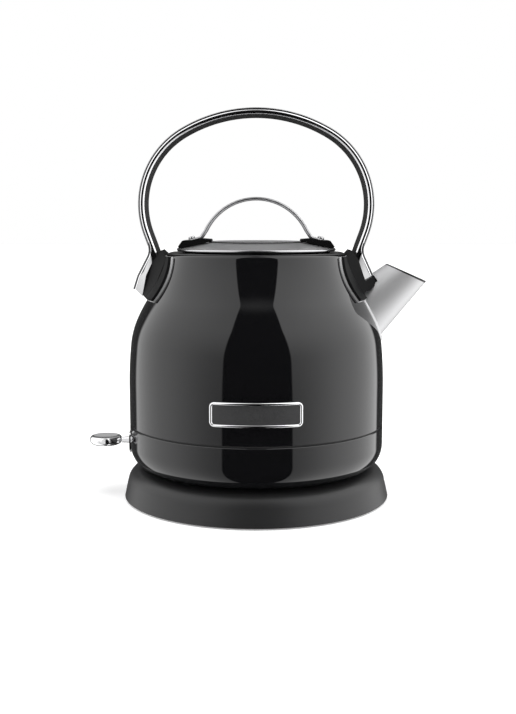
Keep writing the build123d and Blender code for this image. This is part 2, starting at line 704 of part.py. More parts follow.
def make_lid_pads():
    cone = turned(face_of((0, up(100)), (0, up(LID_FLAT_UP)), (LID_FLAT_R, up(LID_FLAT_UP), 6.0),
                          (LID_CONE_R, up(LID_CONE_UP)), (52.0, up(LID_CONE_UP) + 0.25), (52.0, up(100))))
    pads = []
    for side in (-1, 1):
        pad = across(face_of(*[(side * x, up(z)) for x, z in PAD_OUTLINE]), LOOP_W + 3.0)
        pad = pad - cone - make_lid_loop() - lid_bolt(side, SCREW_R, *LID_BOLT)
        pads.append(pad.solids().sort_by(SortBy.VOLUME)[-1])
    return pads


def make_lid_screws():
    screws = []
    for side in (-1, 1):
        head = lid_bolt(side, LID_HEAD[0], 0, LID_HEAD[1])
        head = fillet(head.faces().sort_by(Axis.Z)[-1].edges(), 0.9)
        screws.append(head + lid_bolt(side, SCREW_R, -8.2, 0))
    return screws


def make_lid_nuts():
    nuts = []
    for side in (-1, 1):
        place = foot_plane(side) * Pos(LID_SCREW_ALONG, 0, -8.0)
        nut = extrude(RegularPolygon(2.9, 6), 2.0) - Cylinder(SCREW_R, 9)
        nuts.append(place * nut)
    return nuts


# ---- switch lever ----
def make_lever_paddle():
    paddle = extrude(Ellipse((LEVER_NECK_X - LEVER_TIP_X) / 2, LEVER_W / 2), LEVER_T / 2, both=True)
    paddle = fillet(paddle.edges(), 2.3)
    paddle -= Pos(-0.8, 0, LEVER_T / 2 - 1.0 + LEVER_DISH_R) * Sphere(LEVER_DISH_R)
    return Pos((LEVER_TIP_X + LEVER_NECK_X) / 2, 0, up(LEVER_UP)) * paddle


def make_lever_arm():
    axis_z = up(LEVER_UP)
    outline = face_of((-92.0, 0), (-92.0, 1.8), (-88.0, 1.9), (-81.0, 2.35), (-80.0, 2.2), (PIVOT_X, 2.2),
                      (PIVOT_X, 0))
    arm = Pos(0, 0, axis_z) * revolve(Plane.XZ * outline, Axis.X)
    arm += rod(3.4, (PIVOT_X, -4.6, axis_z), (PIVOT_X, 4.6, axis_z))
    arm -= rod(SCREW_R + PIVOT_PLAY, (PIVOT_X, -6, axis_z), (PIVOT_X, 6, axis_z))
    return arm - make_lever_paddle()


# ---- all nodes ----
NODES = {
    "base_cover": make_base_cover,
    "base_plate": make_base_plate,
    "base_feet": make_base_feet,
    "base_screws": make_base_screws,
    "connector_post": make_connector_post,
    "connector_core": make_connector_core,
    "contact_ring": make_contact_ring,
    "centre_pin": make_centre_pin,
    "cord_grommet": make_cord_grommet,
    "terminal_block": make_terminal_block,
    "socket_ring": make_socket_ring,
    "bottom_cover": make_bottom_cover,
    "bottom_screws": make_bottom_screws,
    "standoffs": make_standoffs,
    "lower_skirt": make_lower_skirt,
    "switch_bezel": make_switch_bezel,
    "seam_gasket": make_seam_gasket,
    "heating_plate": make_heating_plate,
    "plate_seal": make_plate_seal,
    "heating_element": make_heating_element,
    "thermostat_control": make_thermostat_control,
    "steam_tube": make_steam_tube,
    "switch_housing": make_switch_housing,
    "switch_pivot_pin": make_pivot_pin,
    "body_shell": make_body_shell,
    "neck_collar": make_neck_collar,
    "spout": make_spout,
    "filter_frame": make_filter_frame,
    "filter_mesh": make_filter_mesh,
    "badge_frame": make_badge_frame,
    "badge_plate": make_badge_plate,
    "handle_band": make_handle_band,
    "handle_spine": make_handle_spine,
    "handle_lining": make_handle_lining,
    "handle_grip": make_handle_grip,
    "bracket_left": make_bracket_left,
    "bracket_right": make_bracket_right,
    "saddle_plates": make_saddle_plates,
    "bracket_screws": make_bracket_screws,
    "lid_cover": make_lid_cover,
    "lid_rim": make_lid_rim,
    "lid_pan": make_lid_pan,
    "lid_seal": make_lid_seal,
    "lid_loop": make_lid_loop,
    "lid_pads": make_lid_pads,
    "lid_screws": make_lid_screws,
    "lid_nuts": make_lid_nuts,
    "lever_paddle": make_lever_paddle,
    "lever_arm": make_lever_arm,
}

os.makedirs("parts", exist_ok=True)
for name, make in NODES.items():
    shape = make()
    if isinstance(shape, list):
        shape = Compound(children=[piece.solid() for piece in shape])
    export_step(shape, f"parts/{name}.step")
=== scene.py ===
import math
from math import cos, pi, radians, sin

import bmesh
import bpy
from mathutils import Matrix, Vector


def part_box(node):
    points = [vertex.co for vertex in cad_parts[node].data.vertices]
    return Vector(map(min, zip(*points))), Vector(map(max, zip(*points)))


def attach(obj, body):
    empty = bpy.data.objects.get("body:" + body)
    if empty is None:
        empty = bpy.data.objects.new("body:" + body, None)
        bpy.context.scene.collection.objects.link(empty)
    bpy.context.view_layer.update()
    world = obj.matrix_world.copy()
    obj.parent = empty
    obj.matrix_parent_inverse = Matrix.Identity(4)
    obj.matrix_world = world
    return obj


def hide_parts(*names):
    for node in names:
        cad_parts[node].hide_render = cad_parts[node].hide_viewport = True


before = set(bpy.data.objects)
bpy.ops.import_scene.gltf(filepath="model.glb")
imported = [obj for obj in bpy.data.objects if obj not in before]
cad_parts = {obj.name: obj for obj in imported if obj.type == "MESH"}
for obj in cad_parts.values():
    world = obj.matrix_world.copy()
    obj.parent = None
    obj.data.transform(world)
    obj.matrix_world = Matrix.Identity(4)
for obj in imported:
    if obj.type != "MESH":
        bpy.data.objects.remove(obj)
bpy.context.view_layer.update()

# Sizes are millimetres in this script and become metres as each mesh is made.
MM = 0.001


def low(node, axis):
    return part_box(node)[0][axis] / MM


def high(node, axis):
    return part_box(node)[1][axis] / MM


# ---- places taken from the frame ----
SEAM_GAP = 0.6
SEAM_Z = low("body_shell", 2) - SEAM_GAP
BODY_R = high("lower_skirt", 0)
HANDLE_HALF_W = high("handle_band", 1)
HANDLE_TOP = high("handle_band", 2)
NECK_Z = high("body_shell", 2)
LID_FLAT_Z = high("lid_cover", 2)
LID_RIM_Z = low("lid_rim", 2)
LID_RIM_R = high("lid_rim", 0)
STRAP_TOP = high("lid_loop", 2)
STRAP_HALF_W = high("lid_loop", 1)
LEVER_TIP_X = low("lever_paddle", 0)
LEVER_NECK_X = high("lever_paddle", 0)
LEVER_HALF_W = high("lever_paddle", 1)
LEVER_Z = (low("lever_paddle", 2) + high("lever_paddle", 2)) / 2
LEVER_HALF_T = high("lever_paddle", 2) - LEVER_Z
BADGE_HALF_W = high("badge_frame", 0)
BADGE_Z = (low("badge_frame", 2) + high("badge_frame", 2)) / 2
BADGE_HALF_H = high("badge_frame", 2) - BADGE_Z


def up(height):
    """Height above the table of a point measured from the seam."""
    return SEAM_Z + height


# ---- materials ----
def material(name, color, roughness=0.4, metallic=0.0, ior=1.5, specular=0.5, anisotropy=0.0):
    """New node material; returns it with its Principled shader."""
    made = bpy.data.materials.new(name)
    made.use_nodes = True
    shader = made.node_tree.nodes["Principled BSDF"]
    shader.inputs["Base Color"].default_value = (*color, 1)
    shader.inputs["Roughness"].default_value = roughness
    shader.inputs["Metallic"].default_value = metallic
    shader.inputs["IOR"].default_value = ior
    shader.inputs["Specular IOR Level"].default_value = specular
    shader.inputs["Anisotropic"].default_value = anisotropy
    return made, shader


def add(made, kind, **values):
    """New node in a material, with input values by name."""
    node = made.node_tree.nodes.new(kind)
    for key, value in values.items():
        if key == "data_type":
            node.data_type = value
        else:
            node.inputs[key].default_value = value
    return node


def link(made, out, into):
    made.node_tree.links.new(out, into)


def object_position(made, scale, turn=0.0):
    """Object coordinates turned about Y by turn degrees and stretched by scale."""
    place = add(made, "ShaderNodeTexCoord")
    mapping = add(made, "ShaderNodeMapping", Scale=scale)
    mapping.vector_type = "TEXTURE" if turn else "POINT"
    if turn:
        mapping.inputs["Rotation"].default_value = (0, radians(turn), 0)
        mapping.inputs["Scale"].default_value = [1 / s for s in scale]
    link(made, place.outputs["Object"], mapping.inputs["Vector"])
    return mapping.outputs["Vector"]


def noise(made, vector, scale, detail=3.0):
    node = add(made, "ShaderNodeTexNoise", Scale=scale, Detail=detail)
    link(made, vector, node.inputs["Vector"])
    return node.outputs["Fac"]


def spread(made, value, lowest, highest):
    """Maps a 0.3 to 0.7 value onto lowest to highest."""
    limits = {"From Min": 0.3, "From Max": 0.7, "To Min": lowest, "To Max": highest}
    node = add(made, "ShaderNodeMapRange", **limits)
    link(made, value, node.inputs["Value"])
    return node.outputs["Result"]


def bump(made, shader, value, strength, distance):
    node = add(made, "ShaderNodeBump", Strength=strength, Distance=distance)
    link(made, value, node.inputs["Height"])
    link(made, node.outputs["Normal"], shader.inputs["Normal"])


def shade(made, shader, value, color, darker, lighter):
    """Base colour that runs from darker to lighter times color as value runs from 0.3 to 0.7."""
    tint = add(made, "ShaderNodeMix", data_type="RGBA")
    tint.inputs[6].default_value = (*[c * darker for c in color], 1)
    tint.inputs[7].default_value = (*[min(1, c * lighter) for c in color], 1)
    link(made, spread(made, value, 0.0, 1.0), tint.inputs[0])
    link(made, tint.outputs[2], shader.inputs["Base Color"])


def grained(name, color, roughness, grain, depth, vary=0.05, mottle=0.0, **rest):
    """Moulded or cast surface: fine grain in its bump, roughness and, with mottle, its colour."""
    made, shader = material(name, color, roughness, **rest)
    fine = noise(made, object_position(made, (1, 1, 1)), grain)
    link(made, spread(made, fine, roughness - vary, roughness + vary), shader.inputs["Roughness"])
    bump(made, shader, fine, 0.25, depth)
    if mottle:
        shade(made, shader, fine, color, 1 - mottle, 1 + mottle)
    return made


def brushed(name, color, roughness, stretch, turn=0.0, contrast=0.06, depth=0.00002):
    """Brushed metal: hairlines that run along the axis with the smallest stretch."""
    made, shader = material(name, color, roughness, metallic=1.0)
    lines = noise(made, object_position(made, stretch, turn), 1.0, 3.0)
    link(made, spread(made, lines, roughness - 0.04, roughness + 0.04), shader.inputs["Roughness"])
    shade(made, shader, lines, color, 1 - contrast, 1 + contrast)
    bump(made, shader, lines, 0.1, depth)
    return made


ENAMEL = grained("enamel_black", (0.004, 0.004, 0.0045), 0.035, 60, 0.000004, 0.01)
CHROME = grained("chrome", (0.8, 0.8, 0.81), 0.12, 90, 0.000002, 0.02, metallic=1.0)
BEAD_STEEL = grained("bead_steel", (0.34, 0.34, 0.345), 0.3, 90, 0.000002, 0.02, metallic=1.0)
LEVER_CHROME = grained("lever_chrome", (0.84, 0.84, 0.85), 0.14, 90, 0.000002, 0.02, metallic=1.0)
LEG_STEEL = grained("leg_steel", (0.5, 0.5, 0.505), 0.16, 90, 0.000002, 0.02, metallic=1.0)
RIM_STEEL = grained("rim_steel", (0.5, 0.5, 0.51), 0.22, 90, 0.000002, 0.02, metallic=1.0)
STRAP_STEEL = grained("strap_steel", (0.56, 0.56, 0.57), 0.34, 90, 0.000002, 0.03, metallic=1.0)
SPOUT_STEEL = brushed("spout_steel", (0.64, 0.64, 0.645), 0.6, (1800, 1800, 60), 49, contrast=0.03)
# Near-black steel for the spout's lip ring: painted dark reflection, standing for the dark edge line the
# polished lip shows round the mouth.
SPOUT_LIP_PAINTED_DARK_REFLECTION = grained("painted_dark_reflection_steel", (0.035, 0.035, 0.036), 0.35, 900, 0.000002, metallic=1.0)
LID_STEEL = brushed("lid_steel", (0.68, 0.68, 0.69), 0.36, (500, 500, 4000))
STEEL_PLAIN = brushed("steel_plain", (0.55, 0.55, 0.56), 0.34, (900, 900, 60))
BASE_BLACK = grained("base_black", (0.014, 0.014, 0.0145), 0.42, 2600, 0.00004, 0.04, specular=0.4)
BRACKET_BLACK = grained("bracket_black", (0.005, 0.005, 0.0053), 0.5, 2200, 0.00003, 0.05, specular=0.07)
PLAIN_BLACK = grained("plain_black", (0.005, 0.005, 0.0053), 0.55, 2000, 0.00005, specular=0.08)
GRIP_DARK = grained("grip_dark", (0.018, 0.018, 0.018), 0.45, 1800, 0.00003, specular=0.22)
RUBBER = grained("rubber_black", (0.015, 0.015, 0.015), 0.7, 1500, 0.00006)
SILICONE = grained("silicone_grey", (0.32, 0.32, 0.33), 0.45, 900, 0.00003)
BRASS = grained("contact_brass", (0.72, 0.52, 0.24), 0.25, 500, 0.00001, metallic=1.0)
BADGE_DARK = grained("badge_dark", (0.028, 0.028, 0.029), 0.5, 1500, 0.00006, 0.08, mottle=0.35)

NODE_MATERIALS = {
    ENAMEL: ["body_shell", "lower_skirt"],
    CHROME: ["handle_band", "handle_lining", "badge_frame", "lid_rim", "lid_screws", "switch_bezel"],
    LEVER_CHROME: ["lever_paddle", "lever_arm"],
    STRAP_STEEL: ["lid_loop"],
    SPOUT_STEEL: ["spout", "saddle_plates"],
    LID_STEEL: ["lid_cover"],
    STEEL_PLAIN: ["base_screws", "bottom_screws", "standoffs", "heating_plate", "heating_element",
                  "steam_tube", "switch_pivot_pin", "filter_frame", "filter_mesh", "bracket_screws",
                  "lid_nuts"],
    BASE_BLACK: ["base_cover", "connector_post"],
    BRACKET_BLACK: ["bracket_left", "bracket_right", "lid_pads"],
    # handle_spine is plain black as painted shadow: its colour stands for the shaded groove between the
    # handle's band and its lining.
    PLAIN_BLACK: ["base_plate", "connector_core", "terminal_block", "socket_ring", "bottom_cover",
                  "thermostat_control", "switch_housing", "neck_collar", "handle_spine", "lid_pan"],
    GRIP_DARK: ["handle_grip"],
    RUBBER: ["base_feet", "cord_grommet", "seam_gasket"],
    SILICONE: ["plate_seal", "lid_seal"],
    BRASS: ["contact_ring", "centre_pin"],
    BADGE_DARK: ["badge_plate"],
}
for finish, names in NODE_MATERIALS.items():
    for name in names:
        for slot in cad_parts[name].material_slots:
            slot.material = finish


# ---- outlines and meshes ----
def arc_corner(before, corner, after, radius, steps):
    """Points that round one corner of an outline."""
    here = Vector(corner)
    back = (Vector(before) - here).normalized()
    on = (Vector(after) - here).normalized()
    half = back.angle(on) / 2
    centre = here + (back + on).normalized() * radius / sin(half)
    start = here + back * radius / math.tan(half) - centre
    end = here + on * radius / math.tan(half) - centre
    first = math.atan2(start.y, start.x)
    sweep = (math.atan2(end.y, end.x) - first + pi) % (2 * pi) - pi
    turns = [first + sweep * i / steps for i in range(steps + 1)]
    return [(centre.x + radius * cos(turn), centre.y + radius * sin(turn)) for turn in turns]


def rounded(corners, steps=4, closed=True):
    """Outline through (a, b) or (a, b, radius) corners, the latter rounded."""
    outline = []
    for i, corner in enumerate(corners):
        if len(corner) == 2 or (not closed and i in (0, len(corners) - 1)):
            outline.append(tuple(corner[:2]))
        else:
            outline += arc_corner(corners[i - 1][:2], corner[:2], corners[(i + 1) % len(corners)][:2],
                                  corner[2], steps)
    return outline


def resampled(path, count):
    """The open path again as count evenly spaced points."""
    lengths = [0.0]
    for a, b in zip(path, path[1:]):
        lengths.append(lengths[-1] + (Vector(b) - Vector(a)).length)
    points, i = [], 0
    for k in range(count):
        goal = lengths[-1] * k / (count - 1)
        while i < len(path) - 2 and lengths[i + 1] < goal:
            i += 1
        part = (goal - lengths[i]) / max(lengths[i + 1] - lengths[i], 1e-9)
        points.append(tuple(Vector(path[i]).lerp(Vector(path[i + 1]), min(part, 1.0))))
    return points


def skin(rings, wrap=False):
    """Closed surface through rings of equally many points; wrap joins the last ring to the first."""
    count = len(rings[0])
    points = [point for ring in rings for point in ring]
    faces = []
    for i in range(len(rings) if wrap else len(rings) - 1):
        a, b = i * count, (i + 1) % len(rings) * count
        faces += [(a + j, a + (j + 1) % count, b + (j + 1) % count, b + j) for j in range(count)]
    if not wrap:
        faces += [tuple(range(count)), tuple(range(len(points) - count, len(points)))]
    return points, faces


def revolved(outline, steps=192):
    """Closed (radius, height) outline turned about the kettle's axis."""
    turns = [2 * pi * i / steps for i in range(steps)]
    return skin([[(r * cos(a), r * sin(a), z) for r, z in outline] for a in turns], wrap=True)


def swept(path, section):
    """Section of (inset, y) points carried along an (x, z) path, inset to the right of its direction."""
    rings = []
    for i, point in enumerate(path):
        ahead, behind = Vector(path[min(i + 1, len(path) - 1)]), Vector(path[max(i - 1, 0)])
        along = (ahead - behind).normalized()
        rings.append([(point[0] + along.y * inset, y, point[1] - along.x * inset) for inset, y in section])
    return rings


def mesh_from(name, skins):
    """Mesh from surfaces, with merged points and outward normals."""
    shape = bmesh.new()
    for points, faces in skins:
        made = [shape.verts.new([v * MM for v in point]) for point in points]
        for face in faces:
            shape.faces.new([made[i] for i in face])
    bmesh.ops.remove_doubles(shape, verts=shape.verts, dist=1e-7)
    bmesh.ops.dissolve_degenerate(shape, edges=shape.edges, dist=1e-7)
    bmesh.ops.recalc_face_normals(shape, faces=shape.faces)
    mesh = bpy.data.meshes.new(name)
    shape.to_mesh(mesh)
    shape.free()
    return mesh


def cut(mesh, tools):
    """The mesh with closed tool surfaces taken out of it."""
    whole = bpy.data.objects.new("whole", mesh)
    bpy.context.collection.objects.link(whole)
    helpers = [whole]
    for skin_of_tool in tools:
        tool = bpy.data.objects.new("tool", mesh_from("tool", [skin_of_tool]))
        bpy.context.collection.objects.link(tool)
        modifier = whole.modifiers.new("cut", "BOOLEAN")
        modifier.operation, modifier.solver, modifier.object = "DIFFERENCE", "EXACT", tool
        helpers.append(tool)
    bpy.context.view_layer.update()
    result = bpy.data.meshes.new_from_object(whole.evaluated_get(bpy.context.evaluated_depsgraph_get()))
    for helper in helpers:
        bpy.data.objects.remove(helper)
    return result


def make_piece(name, mesh, finish, slot, body, *nodes, crease=32):
    """Object of one finish that moves with a body and stands for CAD nodes."""
    mesh.materials.clear()
    mesh.materials.append(finish)
    mesh.shade_smooth()
    mesh.set_sharp_from_angle(angle=radians(crease))
    made = bpy.data.objects.new(name, mesh)
    bpy.context.collection.objects.link(made)
    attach(made, body)
    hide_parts(*nodes)
    return made


# ---- vessel and skirt ----
WALL = 1.2
NECK_REBATE = 2.4        # how far the vessel's top reaches in from the neck collar's outer edge
SKIRT_WALL = 2.2
SPOUT_WALL = 1.4
SPOUT_STEPS = 120
# Joints of the vessel's side curve, (radius, height above the seam); each arc is tangent to the last.
SIDE_CURVE = [(81.6, 24.0), (80.2, 51.4), (76.2, 66.7), (68.6, 80.8), (57.0, 107.0), (54.2, 109.4)]


def side_line(inset, steps=14):
    """Points up the vessel's side, moved in by inset, in table heights."""
    line, lean = [(BODY_R - inset, up(SEAM_GAP)), (BODY_R - inset, up(SIDE_CURVE[0][1] / 2))], 0.0
    for start, end in zip(SIDE_CURVE, SIDE_CURVE[1:]):
        change = 2 * (math.atan2(start[0] - end[0], end[1] - start[1]) - lean)
        reach = math.hypot(start[0] - end[0], end[1] - start[1]) * (change / 2) / sin(change / 2)
        for i in range(steps):
            turn = change * i / steps
            r = start[0] - reach * (cos(lean) - cos(lean + turn)) / change
            z = start[1] + reach * (sin(lean + turn) - sin(lean)) / change
            line.append((r - inset * cos(lean + turn), up(z) - inset * sin(lean + turn)))
        lean += change
    line.append((SIDE_CURVE[-1][0] - inset * cos(lean), up(SIDE_CURVE[-1][1]) - inset * sin(lean)))
    return line


SIDE = side_line(0.0)


def side_radius(z):
    """Radius of the vessel's outside at a table height."""
    for (r0, z0), (r1, z1) in zip(SIDE, SIDE[1:]):
        if z0 <= z <= z1:
            return r0 + (r1 - r0) * (z - z0) / (z1 - z0)
    return SIDE[0][0] if z < SIDE[0][1] else SIDE[-1][0]


# Side view of the spout: mouth, then root, as (x, height above the seam).
MOUTH_BACK, MOUTH_TIP = (83.3, 102.1), (108.6, 90.9)
ROOT_TOP, ROOT_LOW = (54.0, 82.4), (73.0, 47.8)
MOUTH_HALF_Y, ROOT_HALF_Y = 11.5, 17.5


def spout_point(turn, along, inset):
    """Point of the spout's surface: turn round it, along from root (0) to mouth (1)."""
    ends = []
    for top, foot, half_y in ((ROOT_TOP, ROOT_LOW, ROOT_HALF_Y), (MOUTH_BACK, MOUTH_TIP, MOUTH_HALF_Y)):
        top, foot = Vector((top[0], up(top[1]))), Vector((foot[0], up(foot[1])))
        long_way = (foot - top).normalized()
        spot = (top + foot) / 2 + long_way * ((foot - top).length / 2 - inset) * cos(turn)
        ends.append(Vector((spot.x, (half_y - inset) * sin(turn), spot.y)))
    return ends[0].lerp(ends[1], along)


def spout_start(turn, inset, proud=0.0):
    """How far along the spout its surface leaves the vessel grown by proud."""
    inside, outside = 0.0, 1.0
    for _ in range(30):
        middle = (inside + outside) / 2
        spot = spout_point(turn, middle, inset)
        if math.hypot(spot.x, spot.y) < side_radius(spot.z) + proud:
            inside = middle
        else:
            outside = middle
    return outside


def spout_rings(inset, stations):
    """Rings at stations from the vessel's side (0) to the spout's mouth (1)."""
    rings = []
    for station in stations:
        ring = []
        for i in range(SPOUT_STEPS):
            turn = 2 * pi * i / SPOUT_STEPS
            start = spout_start(turn, inset)
            ring.append(tuple(spout_point(turn, start + (1 - start) * station, inset)))
        rings.append(ring)
    return rings


def spout_ring(along, inset):
    """One level ring of the spout, along from root (0) to mouth (1)."""
    return [tuple(spout_point(2 * pi * i / SPOUT_STEPS, along, inset)) for i in range(SPOUT_STEPS)]


def make_vessel():
    neck_r = high("neck_collar", 0) - NECK_REBATE
    outline = SIDE + [(neck_r, NECK_Z), (neck_r, NECK_Z - WALL)] + side_line(WALL)[::-1]
    shell = mesh_from("vessel", [revolved(outline, 256)])
    hole = spout_rings(SPOUT_WALL, [0.0, 1.0])
    hole[0] = spout_ring(0.0, SPOUT_WALL)
    make_piece("vessel", cut(shell, [skin(hole)]), ENAMEL, "enamel", "kettle", "body_shell", crease=24)


def make_skirt():
    foot_r, foot_z, bend_z, wall = 69.8, up(-27.5), up(-12.5), SKIRT_WALL
    wide, tall = BODY_R - foot_r, bend_z - foot_z
    edge = 0.4
    outline = [(BODY_R - wall, up(-SEAM_GAP)), (BODY_R - edge, up(-SEAM_GAP)), (BODY_R, up(-SEAM_GAP) - edge)]
    for i in range(33):
        turn = pi / 2 * i / 32
        outline.append((foot_r + wide * cos(turn), bend_z - tall * sin(turn)))
    outline += [(68.2, foot_z + 0.9), (67.2, foot_z + wall)]
    for i in range(17):
        turn = pi / 2 * (1 - i / 16)
        outline.append((foot_r + (wide - wall) * cos(turn), bend_z - (tall - wall) * sin(turn)))
    # The slot that the lever comes out of, cut through the wall on the left.
    half_y, half_z, corner, slot_z = 5.5, 6.75, 4.4, up(-13.6)
    ring = rounded([(-half_y, -half_z, corner), (half_y, -half_z, corner), (half_y, half_z, corner),
                    (-half_y, half_z, corner)], 8)
    block = [[(x, y, slot_z + z) for y, z in ring] for x in (-84.0, -76.0)]
    skirt = mesh_from("skirt", [revolved(outline, 256)])
    make_piece("skirt", cut(skirt, [skin(block)]), ENAMEL, "enamel", "kettle", "lower_skirt", crease=40)


# ---- spout ----
def make_spout():
    sheet_end = 0.985
    outer = spout_rings(0.0, [i / 24 for i in range(24)] + [sheet_end])
    inner = spout_rings(SPOUT_WALL, [sheet_end, 0.75, 0.5, 0.25, 0.0])
    lip_section = ((0.974, -0.02), (0.994, 0.0), (0.998, 0.2), (1.0, 0.7), (0.998, 1.05), (0.974, 1.42))
    lip = [spout_ring(along, inset) for along, inset in lip_section]
    flange_section = ((0.0, 0.0), (-2.8, 0.0), (-2.75, 0.55), (-2.5, 0.85), (-2.1, 1.0), (-0.6, 1.0),
                      (0.0, 1.0))
    flange = []
    for inset, proud in flange_section:
        ring = []
        for i in range(SPOUT_STEPS):
            turn = 2 * pi * i / SPOUT_STEPS
            ring.append(tuple(spout_point(turn, spout_start(turn, inset, proud), inset)))
        flange.append(ring)
    mesh = mesh_from("spout", [skin(outer + inner, wrap=True), skin(flange, wrap=True)])
    make_piece("spout", mesh, SPOUT_STEEL, "brushed_steel", "kettle", "spout", crease=40)
    # The lip ring is painted dark: its near-black steel paints the dark reflection along the mouth's edge.
    make_piece("spout_lip", mesh_from("spout_lip", [skin(lip, wrap=True)]), SPOUT_LIP_PAINTED_DARK_REFLECTION, "brushed_steel",
               "kettle", "spout", crease=40)


# ---- handle ----
CROWN_R, SIDE_R, CROWN_HALF, SIDE_END = 93.0, 54.5, 30.3, 110.0
BAND_T, SPINE_T, LINING_T, GRIP_T = 2.0, 0.7, 1.3, 0.8
INNER_TAIL = 16.0        # length of the straight ends of the lining and the grip


def arch_point(angle):
    """Point of the handle's outer curve, angle degrees from its top."""
    side, angle = (-1 if angle < 0 else 1), abs(angle)
    crown = radians(min(angle, CROWN_HALF))
    x, z = CROWN_R * sin(crown), HANDLE_TOP - CROWN_R * (1 - cos(crown))
    if angle > CROWN_HALF:
        x += SIDE_R * (sin(radians(angle)) - sin(crown))
        z += SIDE_R * (cos(radians(angle)) - cos(crown))
    return side * x, z


def arch_path(tail):
    """Outer curve from the left foot to the right, its straight ends tail long."""
    path = [arch_point(SIDE_END * i / 90) for i in range(-90, 91)]
    lean = radians(SIDE_END - 90)
    for side in (-1, 1):
        x, z = path[0] if side < 0 else path[-1]
        ends = [(x - side * tail * k * sin(lean), z - tail * k * cos(lean)) for k in (0.33, 0.67, 1.0)]
        path = ends[::-1] + path if side < 0 else path + ends
    return path


# Feet of the handle in side view, (x, height above the seam).
LEG_BEND_LEFT = [(67.0, 110.4, 9.0), (75.4, 94.9, 9.0), (78.1, 86.5)]
LEG_BEND_RIGHT = [(67.0, 110.4, 9.0), (74.2, 95.0)]
LEG_INSIDE_LEFT = [(66.4, 108.2), (65.0, 104.2), (69.4, 95.2), (72.0, 82.2)]
LEG_INSIDE_RIGHT = [(66.4, 108.2), (64.0, 104.6), (66.9, 96.0), (68.5, 91.8)]
# How much narrower the outer edge of a foot gets, reached LEG_FALL_RUN below LEG_FALL_START.
LEG_FALL_LEFT, LEG_FALL_RIGHT = 2.8, 1.9
LEG_FALL_START, LEG_FALL_RUN = 110.0, 12.0


def outside_line(side, bends):
    """Outer edge of one foot from the handle's straight end down."""
    start = arch_path(4.0)[-1]
    corners = [(start[0], start[1] - up(0))] + bends
    return [(side * x, up(z)) for x, z in rounded(corners, 10, closed=False)]


def both_edges(half):
    """Closed section from its (inset, y) points at one edge, mirrored to the other edge."""
    return half + [(inset, -y) for inset, y in reversed(half)]


def make_handle():
    wide = HANDLE_HALF_W
    left, right = outside_line(-1, LEG_BEND_LEFT), outside_line(1, LEG_BEND_RIGHT)
    path = left[::-1] + arch_path(2.0) + right
    # Bright band, stepped at its edges to leave room for a rolled bead along each.
    band = [(0.0, wide - 2.8), (0.0, wide - 2.2), (0.35, wide - 1.8), (1.1, wide - 1.4), (1.2, wide - 0.55),
            (BAND_T - 0.15, wide - 0.2), (BAND_T - 0.05, wide - 0.35)]
    band = swept(path, both_edges(band))
    bead_r, bead_y, steps = 0.62, wide - 1.3, 20
    turns = [2 * pi * i / steps for i in range(steps)]
    beads = []
    for side in (-1, 1):
        bead = [(bead_r - bead_r * cos(turn), side * bead_y + bead_r * sin(turn)) for turn in turns]
        beads.append(skin(fallen(swept(path, bead))))
    make_piece("handle_bead", mesh_from("handle_bead", beads), BEAD_STEEL, "chrome", "kettle", "handle_band",
               crease=60)
    feet = [leg_web(-1, left, LEG_INSIDE_LEFT), leg_web(1, right, LEG_INSIDE_RIGHT)]
    make_piece("handle_outer", mesh_from("handle_outer", [skin(fallen(band))]), CHROME, "chrome", "kettle",
               "handle_band", crease=60)
    make_piece("handle_legs", mesh_from("handle_legs", feet), LEG_STEEL, "chrome", "kettle", "handle_band")

    start = BAND_T + SPINE_T
    lining = [(0.0, wide - 2.0), (0.2, wide - 1.9), (0.25, wide - 0.2), (0.4, wide),
              (LINING_T - 0.2, wide - 0.38), (LINING_T, wide - 0.6)]
    lining = both_edges([(start + inset, y) for inset, y in lining])
    inner_path = arch_path(INNER_TAIL)
    make_piece("handle_lining", mesh_from("handle_lining", [skin(swept(inner_path, lining))]), CHROME,
               "chrome", "kettle", "handle_lining", crease=50)

    start += LINING_T
    grip = [(0.0, wide - 1.0), (0.3, wide - 1.0), (0.65, wide - 1.2), (GRIP_T, wide - 1.6),
            (GRIP_T, wide - 2.2)]
    grip = both_edges([(start + inset, y) for inset, y in grip])
    make_piece("handle_grip", mesh_from("handle_grip", [skin(swept(inner_path, grip))]), GRIP_DARK,
               "grip", "kettle", "handle_grip", crease=50)


def leg_fall(x, z):
    """How much narrower the handle's outer edge is at a point of a foot than it is up the arch."""
    most = LEG_FALL_LEFT if x < 0 else LEG_FALL_RIGHT
    return most * min(1.0, max(0.0, (up(LEG_FALL_START) - z) / LEG_FALL_RUN))


def fallen(rings):
    """Rings of the handle's outer strip, drawn in where they run down the feet."""
    return [[(x, y - math.copysign(leg_fall(x, z), y), z) for x, y, z in ring] for ring in rings]


def leg_web(side, outside, inside):
    """Flared part of one foot, whose faces fall away from its inner edge to its outer edge."""
    inner_y, rows = HANDLE_HALF_W - 0.35, 24
    inside = resampled([(side * x, up(z)) for x, z in inside], rows)
    edge = []
    for ring in swept(outside, [(side * (BAND_T - 0.2), 0)]):
        edge.append((ring[0][0], ring[0][2]))
    edge = resampled(edge, rows)
    rings = []
    for (ox, oz), (ix, iz) in zip(edge, inside):
        outer_y = inner_y - leg_fall(ox, oz)
        rings.append([(ox, -outer_y, oz), (ix, -inner_y, iz), (ix, inner_y, iz), (ox, outer_y, oz)])
    return skin(rings)


